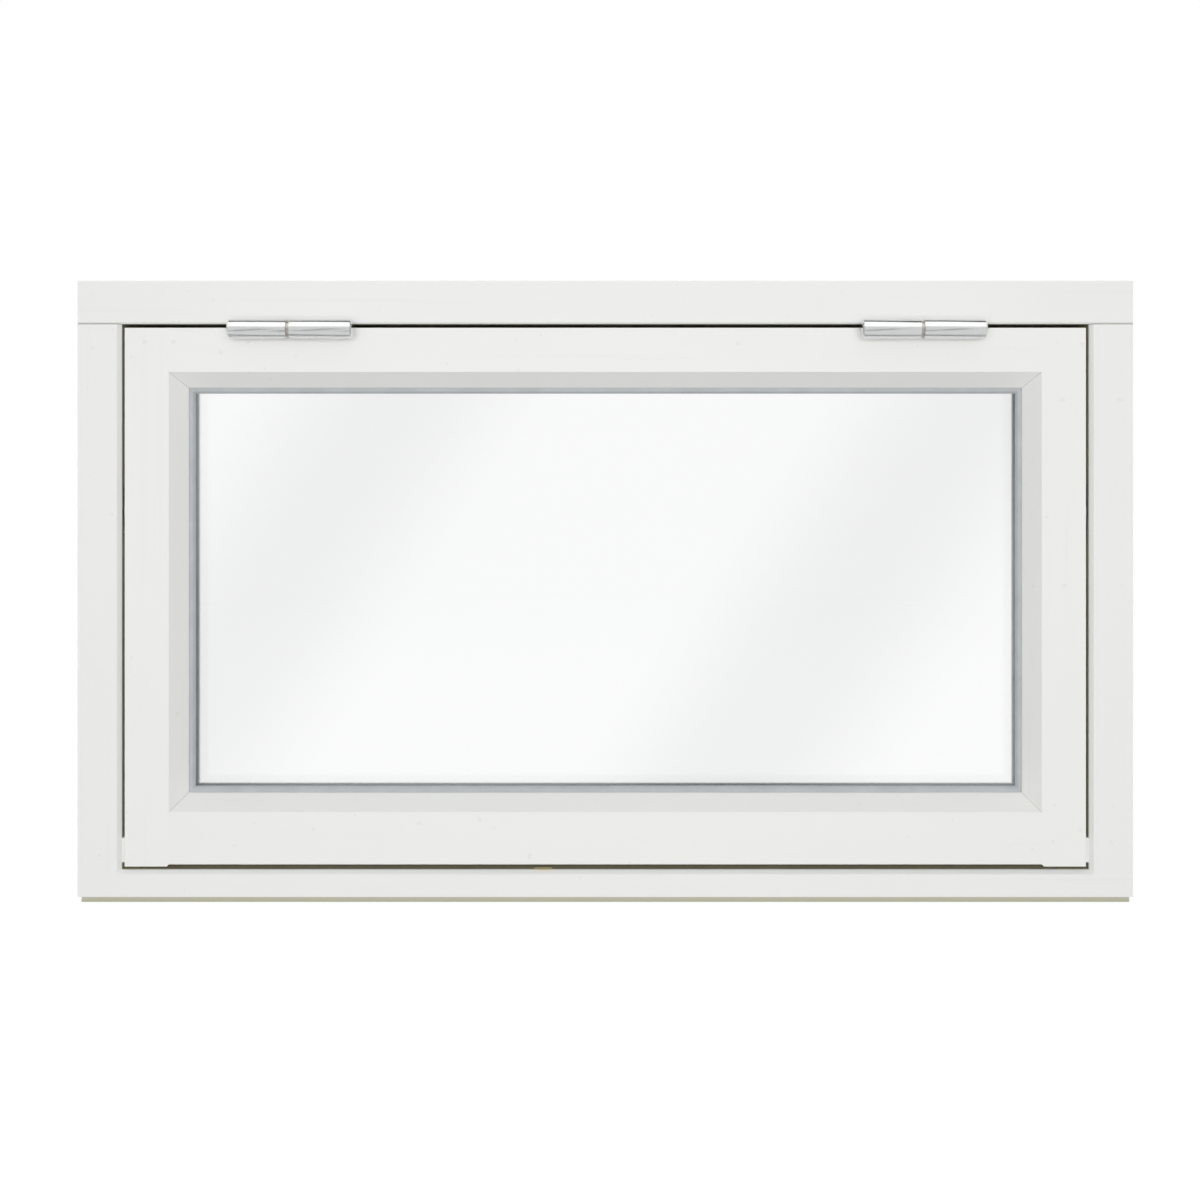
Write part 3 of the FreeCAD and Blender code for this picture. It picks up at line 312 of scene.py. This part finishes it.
FLAT = math.radians(-90)
mirror_card("banded_card", (-2.6, 1.4), banded_card(), (0, -3.4, 0.9))
mirror_card("ceiling_card", (-3.4, 1.6), ceiling_card(), (0, 0, 2.3), FLAT)
mirror_card("low_card", (-3.4, -0.6), Finish("low_card").lamp(0.75), (0, 0, -1.7), FLAT)
mirror_card("low_back_card", (-0.6, 1.6), Finish("low_back_card").lamp(0.30), (0, 0, -1.7), FLAT)


# The frame: head, two jambs and sill, planed pine with two coats of satin off-white paint.
# The head and sill run through; the jambs are scribed between them and screwed from outside.
# In the rebates, behind the face, there is only a thin olive-grey primer.
FRAME_TINT = (0.845, 0.848, 0.828)
PRIMER = (0.44, 0.40, 0.27)
JOINT_GREY = (0.36, 0.35, 0.31)
HEAD_BOTTOM, OPENING_HALF_WIDTH = 0.540, 0.450
REBATE_HALF_WIDTH, REBATE_BOTTOM, REBATE_TOP, STOP_FACE = 0.4515, 0.0285, 0.5415, 0.0092


def darker(colour, share):
    return tuple(level * share for level in colour)


def painted_pine(name, tint, run, shift=0.0, bare=None):
    """Satin paint over pine. Run is the axis that the grain follows, 0 for X and 2 for Z, and
    bare adds what the paint doesn't cover."""
    paint = Finish(name)
    across, along = 170.0, 3.2
    stretch = [along if axis == run else across for axis in range(3)]
    fine = [size * 5 for size in stretch]
    grain = paint.noise(stretch, 3.0, (shift, shift, shift))
    streak = paint.noise(fine, 2.0)
    cloud = paint.noise((7, 7, 7), 3.0, (shift, 0, 0))
    peel = paint.noise((750, 750, 750), 2.0)
    colour = paint.blend(cloud, darker(tint, 0.975), tint)
    colour = paint.blend(paint.step(grain, 0.58, 0.78) * 0.35, colour, darker(tint, 0.93))
    colour = paint.blend(paint.step(streak, 0.66, 0.80) * 0.25, colour, darker(tint, 0.92))
    speck = paint.step(paint.noise((150, 150, 150), 0.0, (3 + shift, 5, 7)), 0.845, 0.87)
    colour = paint.blend(speck * 0.12, colour, (0.45, 0.43, 0.38))
    if bare:
        colour = bare(paint, colour)
    height = grain * 0.55 + streak * 0.2 + peel * 0.35
    rough = 0.36 + cloud * 0.08 + peel * 0.06
    bump = paint.relief(height, 0.00012)
    return paint.solid({"Base Color": colour, "Roughness": rough, "Normal": bump, "IOR": 1.46})


def coat(name, material):
    for holder in nodes[name].material_slots:
        holder.material = material


def ease_edges(name, radius):
    """Takes the sharpness off a piece's arrises, as sanding does."""
    weld = nodes[name].modifiers.new("weld", "WELD")
    weld.merge_threshold = 1e-6
    eased = nodes[name].modifiers.new("eased", "BEVEL")
    eased.width = radius
    eased.segments = 3
    eased.limit_method = "ANGLE"
    eased.angle_limit = math.radians(28)
    eased.harden_normals = True


def within(paint, wire, low, high, blur=0.0006):
    """1 between low and high, 0 outside them, over an edge as wide as blur."""
    return paint.step(wire, low - blur, low) * (1 - paint.step(wire, high, high + blur))


def primed_rebate(paint, colour):
    """Primer on the rebate's surfaces, from just behind the face to the stop, and a hairline in
    the paint where each jamb meets the head."""
    parts = paint.axes()
    joint = 1 - paint.step(paint.distance(parts["Z"], HEAD_BOTTOM), 0.0003, 0.0009)
    aside = paint.distance(parts["X"], 0)
    joint = joint * paint.step(aside, OPENING_HALF_WIDTH, OPENING_HALF_WIDTH + 0.0006)
    colour = paint.blend(joint * 0.55, colour, JOINT_GREY)
    deep = within(paint, parts["Y"], weather_face + 0.0055, STOP_FACE)
    inside = within(paint, parts["X"], -REBATE_HALF_WIDTH, REBATE_HALF_WIDTH)
    inside = inside * within(paint, parts["Z"], REBATE_BOTTOM, REBATE_TOP)
    return paint.blend(deep * inside, colour, PRIMER)


def worn_sill(paint, colour):
    """The sill also has a knock on its upper arris, down to bare pine, and a lip coloured olive-grey,
    darker towards the bottom.
    """
    bare_pine = (0.88, 0.79, 0.52)
    lip_low, lip_high = (0.47, 0.47, 0.33), (0.60, 0.58, 0.52)
    lip_top = 0.0085
    colour = primed_rebate(paint, colour)
    parts = paint.axes()
    ragged = (paint.noise((260, 260, 260), 3.0) - 0.5) * 0.006
    chip = within(paint, parts["X"] + ragged, -0.0655, -0.0500)
    chip = chip * within(paint, parts["Z"] + ragged * 0.25, 0.0322, 0.036)
    chip = chip * within(paint, parts["Y"], weather_face, -0.048)
    colour = paint.blend(chip, colour, bare_pine)
    # The lip, below lip_top, goes olive-grey and is darker towards the bottom.
    lip = paint.step(lip_top - parts["Z"], 0.0, 0.001)
    lip_olive = paint.blend(paint.step(parts["Z"], 0.001, 0.006), lip_low, lip_high)
    return paint.blend(lip, colour, lip_olive)


frame_upright = painted_pine("frame_paint_upright", FRAME_TINT, 2, 4.0, primed_rebate)
coat("frame_head", painted_pine("frame_paint_head", FRAME_TINT, 0, 0.0, primed_rebate))
coat("frame_sill", painted_pine("frame_paint_sill", FRAME_TINT, 0, 6.0, worn_sill))
for name in ("frame_jamb_left", "frame_jamb_right"):
    coat(name, frame_upright)
for name in ("frame_head", "frame_sill", "frame_jamb_left", "frame_jamb_right"):
    ease_edges(name, 0.0006)

# The sash: two stiles and two rails of the same painted pine, dowelled and glued at the corners.
# Its bevels are mitred, with a hairline in the paint along each mitre. The beads have it plain.
SASH_TINT = (0.855, 0.856, 0.832)
SIGHT_HALF_WIDTH, SIGHT_MIDDLE, SIGHT_HALF_HEIGHT, BEVEL_REACH = 0.391, 0.291, 0.190, 0.0145


def mitre_lines(paint, colour):
    parts = paint.axes()
    across = paint.distance(parts["X"], 0) - SIGHT_HALF_WIDTH
    up = paint.distance(parts["Z"], SIGHT_MIDDLE) - SIGHT_HALF_HEIGHT
    line = 1 - paint.step(paint.distance(across, up), 0.0002, 0.0007)
    line = line * within(paint, across, 0.0, BEVEL_REACH) * within(paint, up, 0.0, BEVEL_REACH)
    return paint.blend(line * 0.45, colour, JOINT_GREY)


for name in ("rail_top", "rail_bottom"):
    coat(f"sash_{name}", painted_pine(f"{name}_paint", SASH_TINT, 0, 8.0, mitre_lines))
for name in ("stile_left", "stile_right"):
    coat(f"sash_{name}", painted_pine(f"{name}_paint", SASH_TINT, 2, 12.0, mitre_lines))
for run, names in ((0, ("bead_top", "bead_bottom")), (2, ("bead_left", "bead_right"))):
    bead_paint = painted_pine(f"bead_paint_{run}", SASH_TINT, run, 16.0)
    for name in names:
        coat(name, bead_paint)
for name in ("sash_rail_top", "sash_rail_bottom", "sash_stile_left", "sash_stile_right"):
    ease_edges(name, 0.0005)
for name in ("bead_top", "bead_bottom", "bead_left", "bead_right"):
    ease_edges(name, 0.0004)


# Dowels in the sash's corners: plain turned beech, unpainted, sunk in glue.
def bare_wood(name, light, dark, run):
    wood = Finish(name)
    grain = wood.noise([25.0 if axis == run else 420.0 for axis in range(3)], 4.0)
    pore = wood.noise([60.0 if axis == run else 1600.0 for axis in range(3)], 2.0)
    colour = wood.blend(wood.step(grain, 0.35, 0.7), light, dark)
    colour = wood.blend(wood.step(pore, 0.6, 0.75) * 0.5, colour, darker(dark, 0.6))
    rough = 0.62 + grain * 0.12
    return wood.solid({"Base Color": colour, "Roughness": rough, "Normal": wood.relief(pore, 0.0001)})


coat("sash_dowels", bare_wood("beech", (0.60, 0.42, 0.26), (0.50, 0.33, 0.19), 0))


# The glass unit: two float panes, the outer one with a thin sun-shading coat that reflects a
# little, a dark warm-edge spacer between them and a black butyl seal round the edge. Light
# passes through it to what lies behind.
def float_glass(name, coated):
    glass = Finish(name)
    film = glass.noise((3, 3, 3), 3.0)
    shader = glass.add("ShaderNodeBsdfPrincipled", None, {
        "Base Color": glass.blend(film, (0.996, 0.999, 0.998), (0.992, 0.996, 0.995)),
        "Roughness": glass.step(film, 0.6, 0.9) * 0.01,
        "Transmission Weight": 1.0,
        "IOR": 1.5,
        "Coat Weight": coated,
        "Coat Roughness": 0.0,
        "Coat IOR": 2.2,
    })["BSDF"]
    let_through = glass.add("ShaderNodeBsdfTransparent", None, {"Color": (0.95, 0.97, 0.96, 1)})["BSDF"]
    path = glass.add("ShaderNodeLightPath")
    rays = {0: path["Is Shadow Ray"], 1: path["Is Diffuse Ray"]}
    unseen = glass.add("ShaderNodeMath", {"operation": "MAXIMUM"}, rays)["Value"]
    sockets = {0: unseen, 1: shader, 2: let_through}
    glass.surface(glass.add("ShaderNodeMixShader", None, sockets)["Shader"])
    return glass.material


coat("pane_outer", float_glass("coated_glass", 1.0))
coat("pane_inner", float_glass("plain_glass", 0.0))


def spacer_bar():
    """Dark grey-green coated strip, with fine breather holes 3 mm apart to the drying agent, dented in
    and painted near black as painted shade inside them.
    """
    bar = Finish("spacer_bar")
    parts = bar.axes()
    radians_per_metre = 2100.0
    waves = [bar.add("ShaderNodeMath", {"operation": "SINE"}, {0: parts[axis] * radians_per_metre})
             for axis in ("X", "Z")]
    hole_dents_and_shade = bar.step(waves[0]["Value"] * waves[1]["Value"], 0.75, 0.95)
    cloud = bar.noise((18, 18, 18), 2.0)
    colour = bar.blend(cloud, (0.034, 0.052, 0.054), (0.058, 0.080, 0.083))
    return bar.solid({
        # The holes are painted near black: painted shade inside them.
        "Base Color": bar.blend(hole_dents_and_shade, colour, (0.01, 0.012, 0.012)),
        "Roughness": 0.42 + cloud * 0.15,
        "Metallic": 0.35,
        "Normal": bar.relief(1 - hole_dents_and_shade, 0.0002),
    })


coat("glass_spacer", spacer_bar())


def rubber(name, tint, rough):
    """Extruded rubber: a fine grit, a dusty bloom and a dull surface."""
    strip = Finish(name)
    bloom = strip.noise((60, 60, 60), 4.0)
    skin = strip.noise((900, 900, 900), 2.0)
    colour = strip.blend(strip.step(bloom, 0.3, 0.8), darker(tint, 0.9), tint)
    bump = strip.relief(skin, 0.00006)
    return strip.solid({"Base Color": colour, "Roughness": rough + skin * 0.1, "Normal": bump})


coat("glass_edge_seal", rubber("butyl", (0.018, 0.018, 0.019), 0.5))
coat("glazing_gasket", rubber("gasket_grey", (0.49, 0.515, 0.535), 0.50))
coat("glazing_tape", rubber("tape_grey", (0.30, 0.30, 0.30), 0.7))
coat("glazing_blocks", rubber("setting_block", (0.05, 0.12, 0.28), 0.5))
seal_black = rubber("seal_black", (0.028, 0.027, 0.026), 0.55)
for name in ("frame_seal_head", "frame_seal_sill", "frame_seal_left", "frame_seal_right"):
    coat(name, seal_black)


# The two hinges: turned steel knuckles, bright zinc plated, each welded to a leaf that is sunk
# in the gap. A steel pin joins the two knuckles and a washer keeps them apart; its darker grey is
# painted shade for the gap between the knuckles.
def plated(name, tint, rough, axis=0, ring=2600.0):
    """Plated metal: ring tool marks in a metre of one axis, faint clouding and rubbed spots."""
    zinc = Finish(name)
    tool = zinc.noise([ring if number == axis else 40.0 for number in range(3)], 2.0)
    cloud = zinc.noise((90, 90, 90), 4.0)
    pits = zinc.step(zinc.noise((900, 900, 900), 1.0), 0.72, 0.80)
    colour = zinc.blend(cloud, darker(tint, 0.90), tint)
    colour = zinc.blend(pits * 0.5, colour, darker(tint, 0.55))
    return zinc.solid({
        "Base Color": colour,
        "Metallic": 1.0,
        "Roughness": rough + cloud * 0.12 + pits * 0.2,
        "Normal": zinc.relief(tool * 0.5 - pits, 0.000006),
    })


hinge_zinc = plated("hinge_zinc", (0.87, 0.885, 0.88), 0.14)
pin_steel = plated("pin_steel", (0.62, 0.62, 0.60), 0.26)
# The washer's grey is darker than the zinc: painted shade for the narrow gap between the knuckles.
washer_brass = plated("washer_brass", (0.60, 0.58, 0.52), 0.34)
for side in ("left", "right"):
    for half in ("frame_leaf", "sash_leaf"):
        name = f"hinge_{side}_{half}"
        coat(name, hinge_zinc)
        ease_edges(name, 0.0004)
    coat(f"hinge_{side}_pin", pin_steel)
    coat(f"hinge_{side}_washer", washer_brass)


# The friction stays: a zinc-plated arm on each jamb turns on a stud and carries a nylon shoe,
# which slides in an aluminium track let into the edge of the stile.
def nylon():
    mould = Finish("white_nylon")
    cloud = mould.noise((120, 120, 120), 3.0)
    skin = mould.noise((1400, 1400, 1400), 1.0)
    return mould.solid({
        "Base Color": mould.blend(cloud, (0.78, 0.78, 0.75), (0.84, 0.84, 0.81)),
        "Roughness": 0.38 + skin * 0.12,
        "Normal": mould.relief(skin, 0.00003),
    })


stay_zinc = plated("stay_zinc", (0.70, 0.71, 0.70), 0.30, axis=1, ring=900.0)
track_metal = plated("track_aluminium", (0.80, 0.81, 0.82), 0.34, axis=1, ring=1500.0)
white_nylon = nylon()
for side in ("left", "right"):
    coat(f"stay_arm_{side}", stay_zinc)
    coat(f"stay_bracket_{side}", stay_zinc)
    coat(f"stay_track_{side}", track_metal)
    coat(f"stay_shoe_{side}", white_nylon)
    for part in ("arm", "bracket"):
        ease_edges(f"stay_{part}_{side}", 0.0003)
coat("sash_guide_blocks", white_nylon)
ease_edges("sash_guide_blocks", 0.0006)


# The lock: a lever on the room side turns a square spindle and a pinion in a case in the bottom
# rail. The pinion drives a toothed bar, whose two cams run in behind the strikes on the sill.
lock_zinc = plated("lock_zinc", (0.74, 0.75, 0.74), 0.28, axis=1, ring=700.0)
lever_satin = plated("lever_satin", (0.78, 0.78, 0.78), 0.32, axis=1, ring=2200.0)
for name in ("lock_faceplate", "lock_case", "strike_plate_left", "strike_plate_right"):
    coat(name, lock_zinc)
for name in ("lock_bar", "lock_cams", "lock_pinion", "handle_spindle"):
    coat(name, pin_steel)
coat("handle_rosette", lever_satin)
for name in ("strike_plate_left", "strike_plate_right", "lock_cams", "handle_rosette"):
    ease_edges(name, 0.0004)


# The lever itself, a satin die casting: a round neck that bends into a rounded, slightly
# waisted grip with a domed end. Sizes are in metres, and the neck's middle is the turning axis.
NECK_RADIUS, NECK_EASE = 0.0065, 0.0004
NECK_START, BEND_START, GRIP_MIDDLE = 0.0072, 0.0190, 0.0255
SPINDLE_HEIGHT = 0.068
GRIP_HALF_DEPTH, GRIP_HALF_HEIGHT, GRIP_END = 0.0054, 0.0049, 0.1148
ROUND, BOXY = 2.0, 3.2
BEND_RINGS, GRIP_RINGS, END_RINGS = 9, 12, 8
RING_POINTS = 40


def lever_stations():
    """(x, y, turn, half depth, half height, squareness) of each ring along the lever."""
    slim = NECK_RADIUS - NECK_EASE
    stations = [(0, NECK_START, 0, slim, slim, ROUND)]
    for share in (0.04, 0.5, 1.0):
        y = NECK_START + (BEND_START - NECK_START) * share
        stations.append((0, y, 0, NECK_RADIUS - NECK_EASE * share, NECK_RADIUS, ROUND))
    bend = GRIP_MIDDLE - BEND_START
    quarter = math.radians(90)
    for number in range(1, BEND_RINGS + 1):
        share = number / BEND_RINGS
        turn = quarter * share
        x, y = bend * (1 - math.cos(turn)), BEND_START + bend * math.sin(turn)
        half_depth = slim + (GRIP_HALF_DEPTH - slim) * share
        half_height = NECK_RADIUS + (GRIP_HALF_HEIGHT - NECK_RADIUS) * share
        stations.append((x, y, turn, half_depth, half_height, ROUND + (BOXY - ROUND) * share))

    def grip_ring(x, size, square):
        half_depth, half_height = GRIP_HALF_DEPTH * size, GRIP_HALF_HEIGHT * size
        stations.append((x, GRIP_MIDDLE, quarter, half_depth, half_height, square))

    last = GRIP_END - GRIP_HALF_HEIGHT
    for number in range(1, GRIP_RINGS + 1):
        share = number / GRIP_RINGS
        grip_ring(bend + (last - bend) * share, 1 - 0.10 * math.sin(math.pi * share), BOXY)
    for number in range(1, END_RINGS + 1):
        turn = math.radians(88) * number / END_RINGS
        grip_ring(last + GRIP_HALF_HEIGHT * math.sin(turn), math.cos(turn) ** 0.7, BOXY - turn * 0.7)
    return stations


def rounded_ring(shape, x, y, turn, half_depth, half_height, square):
    """One closed ring of points across the lever, between an ellipse (2) and a box (4 and up)."""
    ring = []
    for number in range(RING_POINTS):
        angle = math.tau * number / RING_POINTS
        across, up = math.cos(angle), math.sin(angle)
        reach = (abs(across) ** square + abs(up) ** square) ** (-1 / square)
        aside = across * reach * half_depth
        height = SPINDLE_HEIGHT + up * reach * half_height
        point = (x + aside * math.cos(turn), y - aside * math.sin(turn), height)
        ring.append(shape.verts.new(point))
    return ring


def join_rings(shape, rings):
    """Smooth skin over the rings, and a flat cap on each end."""
    for first, second in zip(rings, rings[1:]):
        for number in range(RING_POINTS):
            after = (number + 1) % RING_POINTS
            face = shape.faces.new((first[number], first[after], second[after], second[number]))
            face.smooth = True
    for ring in (rings[0], rings[-1]):
        for edge in shape.faces.new(ring).edges:
            edge.smooth = False
    bmesh.ops.recalc_face_normals(shape, faces=shape.faces)


def model_piece(name, build, material, body, stands_for):
    """A piece modelled here in place of CAD nodes, riding on the body that they belong to."""
    mesh = bpy.data.meshes.new(name)
    shape = bmesh.new()
    build(shape)
    shape.to_mesh(mesh)
    shape.free()
    mesh.materials.append(material)
    piece = bpy.data.objects.new(name, mesh)
    bpy.context.scene.collection.objects.link(piece)
    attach(piece, body)
    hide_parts(*stands_for)


def lever_shape(shape):
    join_rings(shape, [rounded_ring(shape, *station) for station in lever_stations()])


model_piece("lever_casting", lever_shape, lever_satin, "handle", ["handle_lever"])


# Screws and nails: zinc-plated steel, driven flush. Each screw is turned to the size of the one
# it stands for and has a cross recess in its head; the bead nails are plain.
SCREW_POINTS = 24
RECESS_HALF_WIDTH, RECESS_REACH, RECESS_DEPTH = 0.13, 0.56, 0.40
SCREWS_ON = {
    "frame": ("frame_corner_screws", "strike_screws", "hinge_frame_screws", "stay_bracket_screws"),
    "sash": ("hinge_sash_screws", "stay_track_screws", "lock_screws", "rosette_screws"),
}


def loose_parts(mesh):
    """The separate lumps of a mesh, each a list of its points."""
    shape = bmesh.new()
    shape.from_mesh(mesh)
    bmesh.ops.remove_doubles(shape, verts=shape.verts, dist=1e-6)
    seen = set()
    lumps = []
    for start in shape.verts:
        if start in seen:
            continue
        seen.add(start)
        lump, waiting = [], [start]
        while waiting:
            vert = waiting.pop()
            lump.append(vert.co.copy())
            for edge in vert.link_edges:
                other = edge.other_vert(vert)
                if other not in seen:
                    seen.add(other)
                    waiting.append(other)
        lumps.append(lump)
    shape.free()
    return lumps


def turned_profile(points):
    """Where a screw's head is, which way it faces, and its (depth below the head, radius) steps."""
    low = Vector(min(point[axis] for point in points) for axis in range(3))
    high = Vector(max(point[axis] for point in points) for axis in range(3))
    span = high - low
    axis = max(range(3), key=lambda number: span[number])
    centre = (low + high) / 2
    widest = {}
    for point in points:
        away = point - centre
        away[axis] = 0
        level = round(point[axis], 6)
        widest[level] = max(widest.get(level, 0), away.length)
    levels = sorted(widest)
    facing = Vector((0, 0, 0))
    facing[axis] = 1 if widest[levels[-1]] > widest[levels[0]] else -1
    top = levels[-1] if facing[axis] > 0 else levels[0]
    centre[axis] = top
    steps = sorted((abs(level - top), widest[level]) for level in levels)
    return centre, facing, steps


def cross_screw(shape, centre, facing, steps):
    """A turned screw with a closed tip, a flat head and a straight-sided cross sunk in it."""
    aside = facing.orthogonal().normalized()
    upward = facing.cross(aside)

    def at(x, y, depth):
        return shape.verts.new(centre + aside * x + upward * y - facing * depth)

    def closed(loop):
        pairs = zip(loop, loop[1:] + loop[:1])
        return [shape.edges.get(pair) or shape.edges.new(pair) for pair in pairs]

    rings = []
    for depth, radius in steps:
        turns = [math.tau * number / SCREW_POINTS for number in range(SCREW_POINTS)]
        rings.append([at(math.cos(turn) * radius, math.sin(turn) * radius, depth) for turn in turns])
    for first, second in zip(rings, rings[1:]):
        for number in range(SCREW_POINTS):
            after = (number + 1) % SCREW_POINTS
            side = shape.faces.new((first[number], first[after], second[after], second[number]))
            side.smooth = True
    shape.faces.new(rings[-1])
    head = steps[0][1]
    half, reach, deep = head * RECESS_HALF_WIDTH, head * RECESS_REACH, head * RECESS_DEPTH
    corners = []
    x, y = 1, 0
    for _ in range(4):
        for along, across in ((reach, -half), (reach, half), (half, half)):
            corners.append((x * along - y * across, y * along + x * across))
        x, y = -y, x
    mouth = [at(*corner, 0) for corner in corners]
    bottom = [at(*corner, deep) for corner in corners]
    for number in range(len(corners)):
        after = (number + 1) % len(corners)
        shape.faces.new((mouth[number], mouth[after], bottom[after], bottom[number]))
    shape.faces.new(bottom)
    bmesh.ops.triangle_fill(shape, edges=closed(rings[0]) + closed(mouth), use_beauty=True)


def screw_group(name):
    def build(shape):
        for points in loose_parts(nodes[name].data):
            cross_screw(shape, *turned_profile(points))
        bmesh.ops.recalc_face_normals(shape, faces=shape.faces)
        for edge in shape.edges:
            edge.smooth = len(edge.link_faces) == 2 and edge.calc_face_angle() < math.radians(30)
    return build


screw_zinc = plated("screw_zinc", (0.66, 0.66, 0.64), 0.30, axis=2, ring=300.0)
coat("bead_nails", screw_zinc)
for body, groups in SCREWS_ON.items():
    for name in groups:
        model_piece(f"{name}_turned", screw_group(name), screw_zinc, body, [name])
